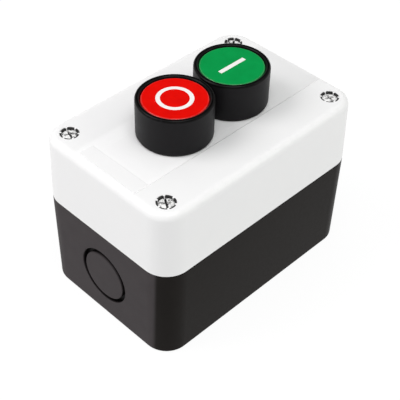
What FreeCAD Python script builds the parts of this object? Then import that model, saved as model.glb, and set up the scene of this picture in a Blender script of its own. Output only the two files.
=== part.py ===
import FreeCAD, Part
import math
import os
import re

import Sketcher

# A two-button control station, in millimetres. The origin is the centre of the base's
# back face, +Z runs out through the buttons, +Y runs towards the start button (up on a
# wall) and +X is to the right. Every size is a cell of the sheet below, and every solid
# is bound to those cells.

doc = FreeCAD.newDocument("control_station")

SIZES = [
    # enclosure: the outline is largest at the parting plane and drafts in both ways
    ("body_length", 106.0),
    ("body_width", 70.0),
    ("body_height", 72.0),
    ("base_height", 43.0),
    ("corner_radius", 10.5),
    ("base_draft", 0.5),
    ("cover_draft", 0.8),
    ("cover_edge_radius", 3.0),
    ("base_edge_radius", 1.0),
    ("wall_thickness", 3.0),
    ("floor_thickness", 3.0),
    ("panel_thickness", 2.5),
    ("post_size", 12.0),
    ("channel_width", 30.4),
    ("channel_depth", 0.5),
    # gasket between base and cover
    ("groove_inset", 0.8),
    ("groove_width", 1.4),
    ("groove_depth", 1.5),
    ("gasket_gap", 0.05),
    # cover screws and their holes
    ("screw_x", 26.0),
    ("screw_y", 44.0),
    ("screw_head_radius", 3.2),
    ("screw_head_height", 2.3),
    ("screw_shank_radius", 1.75),
    ("screw_length", 44.0),
    ("screw_recess_radius", 3.7),
    ("screw_recess_depth", 2.8),
    ("screw_clearance_radius", 2.1),
    ("screw_thread_radius", 1.8),
    ("screw_thread_depth", 20.0),
    ("drive_cross_length", 3.6),
    ("drive_slot_length", 5.0),
    ("drive_width", 0.9),
    ("drive_depth", 1.3),
    # four holes that fasten the base to a wall
    ("mount_x", 12.0),
    ("mount_y", 43.0),
    ("mount_hole_radius", 2.25),
    ("mount_boss_radius", 4.5),
    ("mount_boss_height", 3.0),
    # ring-grooved cable knockout in each short end
    ("knockout_height", 21.2),
    ("knockout_outer_radius", 12.25),
    ("knockout_inner_radius", 10.6),
    ("knockout_depth", 2.2),
    # blank strip for a label
    ("label_width", 30.0),
    ("label_length", 6.4),
    ("label_thickness", 0.3),
    ("label_y", 45.5),
    # heads
    ("button_spacing", 30.0),
    ("button_travel", 4.0),
    ("bezel_radius", 14.75),
    ("bezel_top", 87.8),
    ("bezel_bore_radius", 12.8),
    ("bezel_floor_top", 75.5),
    ("bezel_floor_thickness", 2.0),
    ("bezel_rim_radius", 0.9),
    ("neck_radius", 11.0),
    ("neck_bore_radius", 8.5),
    ("neck_length", 11.2),
    ("panel_hole_radius", 11.15),
    ("key_width", 3.0),
    ("key_reach", 12.0),
    ("key_gap", 0.1),
    ("panel_gasket_outer", 14.2),
    ("panel_gasket_height", 0.8),
    ("cap_radius", 12.6),
    ("cap_top", 87.2),
    ("cap_plate_thickness", 1.5),
    ("cap_skirt_thickness", 1.4),
    ("cap_skirt_clearance", 0.5),
    ("cap_edge_radius", 0.5),
    ("cap_boss_radius", 5.2),
    ("cap_boss_bottom", 82.5),
    ("legend_depth", 0.4),
    ("ring_outer_radius", 7.1),
    ("ring_inner_radius", 5.4),
    ("bar_length", 13.4),
    ("bar_width", 1.9),
    ("pusher_radius", 4.0),
    ("pusher_top", 85.0),
    ("pusher_bottom", 65.3),
    ("pusher_flange_radius", 6.5),
    ("pusher_flange_height", 2.0),
    ("pusher_fit", 0.02),
    ("guide_gap", 0.08),
    ("stop_gap", 0.1),
    ("lip_seal_radius", 7.5),
    ("lip_seal_height", 1.4),
    ("lip_seal_base", 0.6),
    ("return_spring_radius", 9.6),
    ("return_spring_wire", 0.9),
    ("return_spring_turns", 4.0),
    # fixing collar under the panel
    ("collar_radius", 14.0),
    ("collar_height", 8.0),
    ("collar_gap", 0.05),
    ("collar_ear_width", 9.0),
    ("collar_ear_reach", 20.8),
    ("collar_screw_x", 17.2),
    ("collar_screw_radius", 1.5),
    ("collar_screw_head_radius", 2.7),
    ("collar_screw_head_height", 2.5),
    # contact blocks
    ("block_width", 28.4),
    ("block_depth", 12.0),
    ("block_wall", 1.2),
    ("block_bottom", 28.0),
    ("carrier_width", 5.0),
    ("carrier_depth", 7.2),
    ("carrier_gap", 0.15),
    ("carrier_top", 65.1),
    ("carrier_bottom", 38.0),
    ("bridge_bottom", 46.0),
    ("bridge_thickness", 0.8),
    ("bridge_length", 17.0),
    ("bridge_width", 4.4),
    ("window_margin", 0.1),
    ("window_rise", 2.0),
    ("tip_radius", 1.4),
    ("tip_height", 0.8),
    ("tip_x", 7.0),
    ("closed_gap", 0.04),
    ("open_gap", 2.6),
    ("contact_spring_radius", 2.3),
    ("contact_spring_wire", 0.5),
    ("contact_spring_turns", 6.0),
    ("spring_end_gap", 0.1),
    ("strip_width", 4.0),
    ("strip_thickness", 0.8),
    ("strip_inner_x", 5.4),
    ("strip_outer_x", 12.6),
    ("strip_pad_bottom", 34.6),
    ("terminal_x", 9.9),
    ("terminal_screw_radius", 1.4),
    ("terminal_screw_top", 40.3),
    ("terminal_head_radius", 2.4),
    ("terminal_head_bottom", 30.0),
    ("terminal_head_height", 2.3),
    ("terminal_slot_depth", 1.0),
    ("clamp_bottom", 32.5),
    ("clamp_thickness", 0.9),
    ("clamp_length", 4.6),
    ("clamp_width", 5.4),
    ("terminal_hole_gap", 0.1),
    ("driver_hole_radius", 2.7),
    ("wire_hole_height", 3.4),
]

sheet = doc.addObject("Spreadsheet::Sheet", "Sizes")
for row, (name, value) in enumerate(SIZES, start=1):
    sheet.set(f"A{row}", name)
    sheet.set(f"B{row}", str(value))
    sheet.setAlias(f"B{row}", name)
doc.recompute()

NODES = []


# ---- binding sizes to the sheet ------------------------------------------------------

def bound(formula):
    """Point every size named in a formula at its cell."""
    return re.sub(r"\b[a-z]+(_[a-z0-9]+)+\b", r"Sizes.\g<0>", str(formula))


def amount(formula):
    """What a formula of sizes comes to now."""
    return float(sheet.evalExpression(bound(formula)))


def bind(thing, **formulas):
    """Bind properties of an object; a double underscore stands for a dot."""
    for name, formula in formulas.items():
        thing.setExpression(name.replace("__", "."), bound(formula))


def node(solid, name, y="0"):
    """Give a finished sub-part its name, and move it to its station along Y."""
    solid.Label = name
    bind(solid, Placement__Base__y=y)
    NODES.append(solid)
    return solid


# ---- primitives ----------------------------------------------------------------------

def block(x_from, x_to, y_from, y_to, z_from, z_to):
    solid = doc.addObject("Part::Box", "Block")
    bind(solid,
         Length=f"({x_to}) - ({x_from})", Placement__Base__x=x_from,
         Width=f"({y_to}) - ({y_from})", Placement__Base__y=y_from,
         Height=f"({z_to}) - ({z_from})", Placement__Base__z=z_from)
    return solid


def centred_block(width, depth, z_from, z_to, x="0", y="0"):
    return block(f"{x} - ({width}) / 2", f"{x} + ({width}) / 2",
                 f"{y} - ({depth}) / 2", f"{y} + ({depth}) / 2", z_from, z_to)


def rod(radius, z_from, z_to, x="0", y="0"):
    solid = doc.addObject("Part::Cylinder", "Rod")
    bind(solid, Radius=radius, Height=f"({z_to}) - ({z_from})",
         Placement__Base__x=x, Placement__Base__y=y, Placement__Base__z=z_from)
    return solid


def joined(*solids):
    if len(solids) == 1:
        return solids[0]
    whole = doc.addObject("Part::MultiFuse", "Joined")
    whole.Shapes = list(solids)
    whole.Refine = True
    return whole


def less(solid, *removed):
    rest = doc.addObject("Part::Cut", "Rest")
    rest.Base = solid
    rest.Tool = joined(*removed)
    return rest


def group(*solids):
    """Separate solids that share one node."""
    several = doc.addObject("Part::Compound", "Group")
    several.Links = list(solids)
    return several


# ---- bodies with sketches ------------------------------------------------------------

def new_body():
    return doc.addObject("PartDesign::Body", "Body")


def sketch(body, plane, offset="0"):
    """A sketch on one of the body's own origin planes, lifted along its normal."""
    drawn = body.newObject("Sketcher::SketchObject", "Sketch")
    face = next(f for f in body.Origin.OriginFeatures if f.Role == plane)
    drawn.AttachmentSupport = (face, [""])
    drawn.MapMode = "FlatFace"
    bind(drawn, AttachmentOffset__Base__z=offset)
    return drawn


def constrain(drawn, kind, *where, size=None):
    if size is None:
        drawn.addConstraint(Sketcher.Constraint(kind, *where))
        return
    index = drawn.addConstraint(Sketcher.Constraint(kind, *where, amount(size)))
    drawn.setExpression(f"Constraints[{index}]", bound(size))


def draw_outline(drawn, corners):
    """Straight sides through corners given as pairs of formulas."""
    first = drawn.GeometryCount
    points = [FreeCAD.Vector(amount(x), amount(y), 0) for x, y in corners]
    count = len(points)
    for i in range(count):
        drawn.addGeometry(Part.LineSegment(points[i], points[(i + 1) % count]), False)
    for i in range(count):
        side = first + i
        constrain(drawn, "Coincident", side, 2, first + (i + 1) % count, 1)
        constrain(drawn, "DistanceX", -1, 1, side, 1, size=corners[i][0])
        constrain(drawn, "DistanceY", -1, 1, side, 1, size=corners[i][1])


def draw_circle(drawn, radius, x="0", y="0"):
    centre = FreeCAD.Vector(amount(x), amount(y), 0)
    circle = Part.Circle(centre, FreeCAD.Vector(0, 0, 1), amount(radius))
    index = drawn.addGeometry(circle, False)
    constrain(drawn, "Radius", index, size=radius)
    constrain(drawn, "DistanceX", -1, 1, index, 3, size=x)
    constrain(drawn, "DistanceY", -1, 1, index, 3, size=y)


def draw_rounded_rectangle(drawn, width, length, radius):
    """A rectangle about the origin whose corners are tangent arcs."""
    half_x, half_y, r = amount(width) / 2, amount(length) / 2, amount(radius)
    across, along = half_x - r, half_y - r
    arcs = [(across, along, 0), (-across, along, 90), (-across, -along, 180), (across, -along, 270)]
    for x, y, start in arcs:
        circle = Part.Circle(FreeCAD.Vector(x, y, 0), FreeCAD.Vector(0, 0, 1), r)
        quarter = Part.ArcOfCircle(circle, math.radians(start), math.radians(start + 90))
        drawn.addGeometry(quarter, False)
    for i in range(4):
        here, there = drawn.Geometry[i], drawn.Geometry[(i + 1) % 4]
        side = drawn.addGeometry(Part.LineSegment(here.EndPoint, there.StartPoint), False)
        constrain(drawn, "Tangent", i, 2, side, 1)
        constrain(drawn, "Tangent", side, 2, (i + 1) % 4, 1)
        if i:
            constrain(drawn, "Equal", 0, i)
    constrain(drawn, "Radius", 0, size=radius)
    signs = [("", ""), ("-", ""), ("-", "-"), ("", "-")]
    for i in (0, 2):
        sign_x, sign_y = signs[i]
        constrain(drawn, "DistanceX", -1, 1, i, 3, size=f"{sign_x}(({width}) / 2 - {radius})")
        constrain(drawn, "DistanceY", -1, 1, i, 3, size=f"{sign_y}(({length}) / 2 - {radius})")


def feature(body, kind, profile, **formulas):
    made = body.newObject(f"PartDesign::{kind}", kind)
    made.Profile = profile
    bind(made, **formulas)
    return made


def pad(body, profile, length, reverse=False, **formulas):
    made = feature(body, "Pad", profile, Length=length, **formulas)
    made.Reversed = reverse
    doc.recompute()
    return made


def pocket(body, profile, depth, reverse=False):
    """Cut a pocket, and stop if it removed nothing."""
    before = body.Shape.Volume
    made = feature(body, "Pocket", profile, Length=depth)
    made.Reversed = reverse
    doc.recompute()
    if body.Shape.Volume > before - 1e-6:
        raise RuntimeError(f"a pocket in {body.Label} cuts nothing")
    return made


def turned(outline):
    """A body of revolution about Z, from corners given as (radius, height)."""
    body = new_body()
    profile = sketch(body, "XZ_Plane")
    draw_outline(profile, outline)
    axis = feature(body, "Revolution", profile)
    axis.ReferenceAxis = (profile, ["V_Axis"])
    axis.Angle = 360
    doc.recompute()
    return body


def rounded(body, radius, wanted):
    """Round the edges of the body's last feature that a test picks out."""
    doc.recompute()
    last = body.Tip
    names = [f"Edge{i}" for i, edge in enumerate(last.Shape.Edges, start=1) if wanted(edge)]
    made = body.newObject("PartDesign::Fillet", "Fillet")
    made.Base = (last, names)
    bind(made, Radius=radius)
    doc.recompute()
    return made


def lies_at(height):
    """A test for the edges that lie in the plane at a height."""
    level = amount(height)
    return lambda edge: (abs(edge.BoundBox.ZMin - level) < 1e-4
                         and abs(edge.BoundBox.ZMax - level) < 1e-4)


def coil(radius, wire, turns, z_from, z_to):
    """A round-wire compression spring between two heights."""
    body = new_body()
    profile = sketch(body, "XZ_Plane")
    draw_circle(profile, f"{wire} / 2", radius, f"{z_from} + {wire} / 2")
    spring = body.newObject("PartDesign::AdditiveHelix", "Helix")
    spring.Profile = profile
    spring.ReferenceAxis = (profile, ["V_Axis"])
    spring.Mode = "height-turns-angle"
    bind(spring, Height=f"({z_to}) - ({z_from}) - {wire}", Turns=turns)
    doc.recompute()
    return body


# ---- places that several pieces share ------------------------------------------------

CORNERS = [(x, y) for x in ("-", "") for y in ("-", "")]
PANEL_TOP = "body_height - channel_depth"
PANEL_BOTTOM = f"{PANEL_TOP} - panel_thickness"
SCREW_SEAT = "body_height - screw_recess_depth"
BEZEL_FOOT = f"{PANEL_TOP} + panel_gasket_height"
GUIDE_BOTTOM = "bezel_floor_top - bezel_floor_thickness"
COLLAR_BOTTOM = f"{PANEL_BOTTOM} - collar_height"
SKIRT_BOTTOM = "bezel_floor_top + button_travel + cap_skirt_clearance"


def cross_outline(spread):
    """The cavity's outline, set back round the corner posts and spread outwards."""
    far_x = f"body_width / 2 - wall_thickness + {spread}"
    far_y = f"body_length / 2 - wall_thickness + {spread}"
    near_x = f"{far_x} - post_size"
    near_y = f"{far_y} - post_size"
    quarter = [(far_x, near_y), (near_x, near_y), (near_x, far_y)]
    corners = []
    for sign_x, sign_y in (("", ""), ("-", ""), ("-", "-"), ("", "-")):
        turn = quarter if sign_x == sign_y else quarter[::-1]
        corners += [(f"{sign_x}({x})", f"{sign_y}({y})") for x, y in turn]
    return corners


def four_circles(drawn, radius, x, y):
    for sign_x, sign_y in CORNERS:
        draw_circle(drawn, radius, f"{sign_x}{x}", f"{sign_y}{y}")


def drafted_shell(draft, height, reverse):
    """The outside of one half of the enclosure, drafted away from the parting plane."""
    body = new_body()
    outline = sketch(body, "XY_Plane", "base_height")
    draw_rounded_rectangle(outline, "body_width", "body_length", "corner_radius")
    pad(body, outline, height, reverse=reverse, TaperAngle=f"-atan({draft} / ({height}))")
    return body


# ---- enclosure -----------------------------------------------------------------------

def make_base():
    body = drafted_shell("base_draft", "base_height", reverse=True)
    rounded(body, "base_edge_radius", lies_at("0"))

    cavity = sketch(body, "XY_Plane", "base_height")
    draw_outline(cavity, cross_outline("0"))
    pocket(body, cavity, "base_height - floor_thickness")

    bosses = sketch(body, "XY_Plane", "floor_thickness")
    four_circles(bosses, "mount_boss_radius", "mount_x", "mount_y")
    pad(body, bosses, "mount_boss_height")
    mount_holes = sketch(body, "XY_Plane", "floor_thickness + mount_boss_height")
    four_circles(mount_holes, "mount_hole_radius", "mount_x", "mount_y")
    pocket(body, mount_holes, "floor_thickness + mount_boss_height")

    screw_holes = sketch(body, "XY_Plane", "base_height")
    four_circles(screw_holes, "screw_thread_radius", "screw_x", "screw_y")
    pocket(body, screw_holes, "screw_thread_depth")

    groove = sketch(body, "XY_Plane", "base_height")
    draw_outline(groove, cross_outline("groove_inset"))
    draw_outline(groove, cross_outline("groove_inset + groove_width"))
    pocket(body, groove, "groove_depth")

    ring = sketch(body, "XZ_Plane", "body_length / 2")
    draw_circle(ring, "knockout_outer_radius", y="knockout_height")
    draw_circle(ring, "knockout_inner_radius", y="knockout_height")
    knockout = pocket(body, ring, "knockout_depth")
    opposite = body.newObject("PartDesign::Mirrored", "Mirrored")
    opposite.Originals = [knockout]
    plane = next(f for f in body.Origin.OriginFeatures if f.Role == "XZ_Plane")
    opposite.MirrorPlane = (plane, [""])
    body.Tip = opposite
    return node(body, "base")


def make_cover():
    body = drafted_shell("cover_draft", "body_height - base_height", reverse=False)
    rounded(body, "cover_edge_radius", lies_at("body_height"))

    channel = sketch(body, "XY_Plane", "body_height")
    reach = "body_length"
    draw_outline(channel, [("channel_width / 2", f"-{reach}"), ("channel_width / 2", reach),
                           ("-channel_width / 2", reach), ("-channel_width / 2", f"-{reach}")])
    pocket(body, channel, "channel_depth")

    cavity = sketch(body, "XY_Plane", "base_height")
    draw_outline(cavity, cross_outline("0"))
    pocket(body, cavity, f"{PANEL_BOTTOM} - base_height", reverse=True)

    holes = sketch(body, "XY_Plane", "body_height")
    for sign in ("-", ""):
        draw_circle(holes, "panel_hole_radius", y=f"{sign}button_spacing / 2")
    pocket(body, holes, "channel_depth + panel_thickness")
    keyways = sketch(body, "XY_Plane", "body_height")
    half = "(key_width / 2 + key_gap)"
    for sign in ("-", ""):
        middle = f"{sign}button_spacing / 2"
        draw_outline(keyways, [(f"-{half}", middle), (half, middle),
                               (half, f"{middle} + key_reach + key_gap"),
                               (f"-{half}", f"{middle} + key_reach + key_gap")])
    pocket(body, keyways, "channel_depth + panel_thickness")

    recesses = sketch(body, "XY_Plane", "body_height")
    four_circles(recesses, "screw_recess_radius", "screw_x", "screw_y")
    pocket(body, recesses, "screw_recess_depth")
    clearances = sketch(body, "XY_Plane", "body_height")
    four_circles(clearances, "screw_clearance_radius", "screw_x", "screw_y")
    pocket(body, clearances, "body_height - base_height")
    return node(body, "cover")


def make_cover_gasket():
    body = new_body()
    ring = sketch(body, "XY_Plane", "base_height - groove_depth")
    draw_outline(ring, cross_outline("groove_inset + gasket_gap"))
    draw_outline(ring, cross_outline("groove_inset + groove_width - gasket_gap"))
    pad(body, ring, "groove_depth")
    return node(body, "cover_gasket")


def make_cover_screws():
    """Four combination-drive screws: a cross with one arm drawn out into a slot."""
    screws = []
    top = f"{SCREW_SEAT} + screw_head_height"
    for sign_x, sign_y in CORNERS:
        x, y = f"{sign_x}screw_x", f"{sign_y}screw_y"
        head = rod("screw_head_radius", SCREW_SEAT, top, x, y)
        shank = rod("screw_shank_radius", f"{SCREW_SEAT} - screw_length", SCREW_SEAT, x, y)
        slot = centred_block("drive_slot_length", "drive_width", f"{top} - drive_depth", top, x, y)
        arm = centred_block("drive_width", "drive_cross_length", f"{top} - drive_depth", top, x, y)
        screws.append(less(joined(head, shank), slot, arm))
    return node(group(*screws), "cover_screws")


def make_label_plate():
    plate = centred_block("label_width", "label_length", PANEL_TOP,
                          f"{PANEL_TOP} + label_thickness")
    return node(plate, "label_plate", "-label_y - label_length / 2")


# ---- heads ---------------------------------------------------------------------------

def make_bezel(side, y):
    body = turned([
        ("neck_bore_radius", f"{BEZEL_FOOT} - neck_length"),
        ("neck_radius", f"{BEZEL_FOOT} - neck_length"),
        ("neck_radius", BEZEL_FOOT),
        ("bezel_radius", BEZEL_FOOT),
        ("bezel_radius", "bezel_top"),
        ("bezel_bore_radius", "bezel_top"),
        ("bezel_bore_radius", "bezel_floor_top"),
        ("pusher_radius + guide_gap", "bezel_floor_top"),
        ("pusher_radius + guide_gap", GUIDE_BOTTOM),
        ("neck_bore_radius", GUIDE_BOTTOM),
    ])
    rounded(body, "bezel_rim_radius", lies_at("bezel_top"))
    key = sketch(body, "XY_Plane", BEZEL_FOOT)
    inner = "(neck_radius + neck_bore_radius) / 2"
    draw_outline(key, [("-key_width / 2", inner), ("key_width / 2", inner),
                       ("key_width / 2", "key_reach"), ("-key_width / 2", "key_reach")])
    pad(body, key, "panel_gasket_height + panel_thickness", reverse=True)
    return node(body, f"{side}_bezel", y)


def make_panel_gasket(side, y):
    body = turned([
        ("key_reach + key_gap", PANEL_TOP),
        ("panel_gasket_outer", PANEL_TOP),
        ("panel_gasket_outer", BEZEL_FOOT),
        ("key_reach + key_gap", BEZEL_FOOT),
    ])
    return node(body, f"{side}_panel_gasket", y)


def make_cap(side, y):
    """A moulded cap: plate, skirt, and a boss that grips the pusher."""
    body = turned([
        ("0", "pusher_top"),
        ("pusher_radius + pusher_fit", "pusher_top"),
        ("pusher_radius + pusher_fit", "cap_boss_bottom"),
        ("cap_boss_radius", "cap_boss_bottom"),
        ("cap_boss_radius", "cap_top - cap_plate_thickness"),
        ("cap_radius - cap_skirt_thickness", "cap_top - cap_plate_thickness"),
        ("cap_radius - cap_skirt_thickness", SKIRT_BOTTOM),
        ("cap_radius", SKIRT_BOTTOM),
        ("cap_radius", "cap_top"),
        ("0", "cap_top"),
    ])
    rounded(body, "cap_edge_radius",
            lambda edge: lies_at("cap_top")(edge) and edge.Length > 1)
    recess = sketch(body, "XY_Plane", "cap_top")
    draw_legend(recess, side)
    pocket(body, recess, "legend_depth")
    return node(body, f"{side}_cap", y)


def draw_legend(drawn, side):
    """A ring marks stop, a bar marks start."""
    if side == "stop":
        draw_circle(drawn, "ring_outer_radius")
        draw_circle(drawn, "ring_inner_radius")
    else:
        draw_outline(drawn, [("-bar_width / 2", "-bar_length / 2"), ("bar_width / 2", "-bar_length / 2"),
                             ("bar_width / 2", "bar_length / 2"), ("-bar_width / 2", "bar_length / 2")])


def make_legend(side, y):
    """The white second shot moulded into the cap."""
    body = new_body()
    mark = sketch(body, "XY_Plane", "cap_top")
    draw_legend(mark, side)
    pad(body, mark, "legend_depth", reverse=True)
    return node(body, f"{side}_legend", y)


def make_pusher(side, y):
    flange_top = f"{GUIDE_BOTTOM} - stop_gap"
    body = turned([
        ("0", "pusher_bottom"),
        ("pusher_radius", "pusher_bottom"),
        ("pusher_radius", f"{flange_top} - pusher_flange_height"),
        ("pusher_flange_radius", f"{flange_top} - pusher_flange_height"),
        ("pusher_flange_radius", flange_top),
        ("pusher_radius", flange_top),
        ("pusher_radius", "pusher_top"),
        ("0", "pusher_top"),
    ])
    return node(body, f"{side}_pusher", y)


def make_lip_seal(side, y):
    bore = "pusher_radius + guide_gap"
    body = turned([
        (bore, "bezel_floor_top"),
        ("lip_seal_radius", "bezel_floor_top"),
        ("lip_seal_radius", "bezel_floor_top + lip_seal_base"),
        (f"{bore} + lip_seal_base", "bezel_floor_top + lip_seal_base"),
        (f"{bore} + lip_seal_base", "bezel_floor_top + lip_seal_height"),
        (bore, "bezel_floor_top + lip_seal_height"),
    ])
    return node(body, f"{side}_lip_seal", y)


def make_return_spring(side, y):
    spring = coil("return_spring_radius", "return_spring_wire", "return_spring_turns",
                  "bezel_floor_top", "cap_top - cap_plate_thickness")
    return node(spring, f"{side}_return_spring", y)


def make_fixing_collar(side, y):
    """Clamps the head to the panel from inside; its ear carries the jacking screw."""
    ear = block("0", "collar_ear_reach", "-collar_ear_width / 2", "collar_ear_width / 2",
                COLLAR_BOTTOM, PANEL_BOTTOM)
    ring = rod("collar_radius", COLLAR_BOTTOM, PANEL_BOTTOM)
    bore = rod("neck_radius + collar_gap", f"{COLLAR_BOTTOM} - 1", f"{PANEL_BOTTOM} + 1")
    thread = rod("collar_screw_radius + collar_gap", f"{COLLAR_BOTTOM} - 1",
                 f"{PANEL_BOTTOM} + 1", x="collar_screw_x")
    return node(less(joined(ring, ear), bore, thread), f"{side}_fixing_collar", y)


def make_collar_screw(side, y):
    head_top = f"{COLLAR_BOTTOM} - stop_gap"
    head_bottom = f"{head_top} - collar_screw_head_height"
    x = "collar_screw_x"
    head = rod("collar_screw_head_radius", head_bottom, head_top, x)
    shank = rod("collar_screw_radius", head_top, PANEL_BOTTOM, x)
    slot = centred_block("2 * collar_screw_head_radius + 1", "drive_width",
                         f"{head_bottom} - 1", f"{head_bottom} + terminal_slot_depth", x)
    return node(less(joined(head, shank), slot), f"{side}_collar_screw", y)


# ---- contact blocks ------------------------------------------------------------------

def make_contact_housing(side, y):
    """An open-sided moulded shell that clips under the collar."""
    outside = centred_block("block_width", "block_depth", "block_bottom", COLLAR_BOTTOM)
    inside = block("-block_width / 2 + block_wall", "block_width / 2 - block_wall",
                   "-block_depth", "block_depth / 2 - block_wall",
                   "block_bottom + block_wall", f"{COLLAR_BOTTOM} - block_wall")
    top_hole = centred_block("carrier_width + 2 * carrier_gap", "carrier_depth + 2 * carrier_gap",
                             f"{COLLAR_BOTTOM} - 2 * block_wall", f"{COLLAR_BOTTOM} + 1")
    holes = [inside, top_hole]
    for sign in ("-", ""):
        holes.append(rod("driver_hole_radius", "block_bottom - 1", "block_bottom + 2 * block_wall",
                         x=f"{sign}terminal_x"))
    holes.append(centred_block("block_width + 2", "strip_width", "clamp_bottom - 0.4",
                               "clamp_bottom - 0.4 + wire_hole_height"))
    return node(less(outside, *holes), f"{side}_contact_housing", y)


def make_contact_side_cover(side, y):
    """Closes the open side, and sits inside the housing's walls."""
    gap = "block_wall + gasket_gap"
    plate = block(f"-block_width / 2 + {gap}", f"block_width / 2 - ({gap})",
                  "0", "block_wall",
                  f"block_bottom + {gap}", f"{COLLAR_BOTTOM} - ({gap})")
    return node(plate, f"{side}_contact_side_cover", f"{y} - block_depth / 2")


def make_contact_carrier(side, y):
    """The plunger that the pusher drives, with a window for the bridge."""
    stem = centred_block("carrier_width", "carrier_depth", "carrier_bottom", "carrier_top")
    window = centred_block("carrier_width + 2", "bridge_width + 4 * window_margin",
                           "bridge_bottom - window_margin",
                           "bridge_bottom + bridge_thickness + window_rise")
    return node(less(stem, window), f"{side}_contact_carrier", y)


def tip_levels(side):
    """Bottom and top of the bridge's tips: above it when it opens, below when it closes."""
    if side == "stop":
        low = "bridge_bottom + bridge_thickness"
    else:
        low = "bridge_bottom - tip_height"
    return low, f"{low} + tip_height"


def make_contact_bridge(side, y):
    plate = centred_block("bridge_length", "bridge_width", "bridge_bottom",
                          "bridge_bottom + bridge_thickness")
    low, high = tip_levels(side)
    tips = [rod("tip_radius", low, high, x=f"{sign}tip_x") for sign in ("-", "")]
    return node(joined(plate, *tips), f"{side}_contact_bridge", y)


def make_fixed_contacts(side, y):
    """Two bent strips, each from a silver tip down to its terminal pad."""
    low, high = tip_levels(side)
    if side == "stop":
        tip_low = f"{high} + closed_gap"
        strip_low = f"{tip_low} + tip_height"
    else:
        tip_low = f"{low} - open_gap - tip_height"
        strip_low = f"{tip_low} - strip_thickness"
    strips = []
    for sign in ("-", ""):
        def limb(near, far, z_from, z_to):
            ends = (f"-({far})", f"-({near})") if sign else (near, far)
            return block(*ends, "-strip_width / 2", "strip_width / 2", z_from, z_to)

        over = limb("strip_inner_x", "strip_outer_x", strip_low, f"{strip_low} + strip_thickness")
        down = limb("strip_outer_x - strip_thickness", "strip_outer_x", "strip_pad_bottom",
                    f"{strip_low} + strip_thickness")
        pad_plate = limb("terminal_x - 2.4", "strip_outer_x", "strip_pad_bottom",
                         "strip_pad_bottom + strip_thickness")
        tip = rod("tip_radius", tip_low, f"{tip_low} + tip_height", x=f"{sign}tip_x")
        hole = rod("terminal_screw_radius + terminal_hole_gap", "strip_pad_bottom - 1",
                   "strip_pad_bottom + strip_thickness + 1", x=f"{sign}terminal_x")
        strips.append(less(joined(over, down, pad_plate, tip), hole))
    return node(group(*strips), f"{side}_fixed_contacts", y)


def make_terminal_screws(side, y):
    screws = []
    head_top = "terminal_head_bottom + terminal_head_height"
    for sign in ("-", ""):
        x = f"{sign}terminal_x"
        head = rod("terminal_head_radius", "terminal_head_bottom", head_top, x)
        shank = rod("terminal_screw_radius", head_top, "terminal_screw_top", x)
        slot = centred_block("2 * terminal_head_radius + 1", "drive_width",
                             "terminal_head_bottom - 1",
                             "terminal_head_bottom + terminal_slot_depth", x)
        screws.append(less(joined(head, shank), slot))
    return node(group(*screws), f"{side}_terminal_screws", y)


def make_terminal_clamps(side, y):
    """Square washers that press a wire against the strip."""
    clamps = []
    for sign in ("-", ""):
        x = f"{sign}terminal_x"
        plate = centred_block("clamp_length", "clamp_width", "clamp_bottom",
                              "clamp_bottom + clamp_thickness", x)
        hole = rod("terminal_screw_radius + terminal_hole_gap", "clamp_bottom - 1",
                   "clamp_bottom + clamp_thickness + 1", x)
        clamps.append(less(plate, hole))
    return node(group(*clamps), f"{side}_terminal_clamps", y)


def make_contact_spring(side, y):
    spring = coil("contact_spring_radius", "contact_spring_wire", "contact_spring_turns",
                  "block_bottom + block_wall + spring_end_gap", "carrier_bottom")
    return node(spring, f"{side}_contact_spring", y)


# ---- assembly ------------------------------------------------------------------------

make_base()
make_cover()
make_cover_gasket()
make_cover_screws()
make_label_plate()

HEAD_PIECES = [make_bezel, make_panel_gasket, make_cap, make_legend, make_pusher, make_lip_seal,
               make_return_spring, make_fixing_collar, make_collar_screw]
BLOCK_PIECES = [make_contact_housing, make_contact_side_cover, make_contact_carrier,
                make_contact_bridge, make_contact_spring, make_fixed_contacts,
                make_terminal_screws, make_terminal_clamps]

for side, station in (("stop", "-button_spacing / 2"), ("start", "button_spacing / 2")):
    for make in HEAD_PIECES + BLOCK_PIECES:
        make(side, station)
doc.recompute()

for thing in doc.Objects:
    if "Invalid" in thing.State or "Error" in thing.State:
        raise RuntimeError(f"{thing.Label} ({thing.Name}) did not build: {thing.State}")
for piece in NODES:
    if piece.Shape.isNull() or not piece.Shape.isValid():
        raise RuntimeError(f"{piece.Label} has no valid shape")

os.makedirs("parts", exist_ok=True)
for piece in NODES:
    piece.Shape.exportStep(f"parts/{piece.Label}.step")
print(f"{len(NODES)} sub-parts written")
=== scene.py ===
import math

import bmesh
import bpy
from mathutils import Matrix, Vector


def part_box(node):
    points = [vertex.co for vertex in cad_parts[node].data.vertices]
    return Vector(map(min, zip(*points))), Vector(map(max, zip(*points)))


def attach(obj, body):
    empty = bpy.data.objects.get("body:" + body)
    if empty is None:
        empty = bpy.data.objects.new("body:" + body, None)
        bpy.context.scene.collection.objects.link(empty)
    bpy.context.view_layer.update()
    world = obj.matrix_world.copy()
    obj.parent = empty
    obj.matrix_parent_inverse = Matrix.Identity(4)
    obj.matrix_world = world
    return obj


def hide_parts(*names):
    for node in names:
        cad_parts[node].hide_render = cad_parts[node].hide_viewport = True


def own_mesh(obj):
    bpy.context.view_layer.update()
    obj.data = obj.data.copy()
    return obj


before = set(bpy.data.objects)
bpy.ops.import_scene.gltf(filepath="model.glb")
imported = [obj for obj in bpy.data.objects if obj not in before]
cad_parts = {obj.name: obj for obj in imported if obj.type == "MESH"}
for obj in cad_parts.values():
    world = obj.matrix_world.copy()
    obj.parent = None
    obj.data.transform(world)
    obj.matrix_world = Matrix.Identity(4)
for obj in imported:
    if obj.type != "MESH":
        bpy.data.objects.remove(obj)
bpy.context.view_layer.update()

MM = 0.001


# ======================================================================================
# Camera: above the cover's near corner, looking down on the stop end and the right side.
# A long lens keeps the enclosure's edges nearly parallel.

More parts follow.
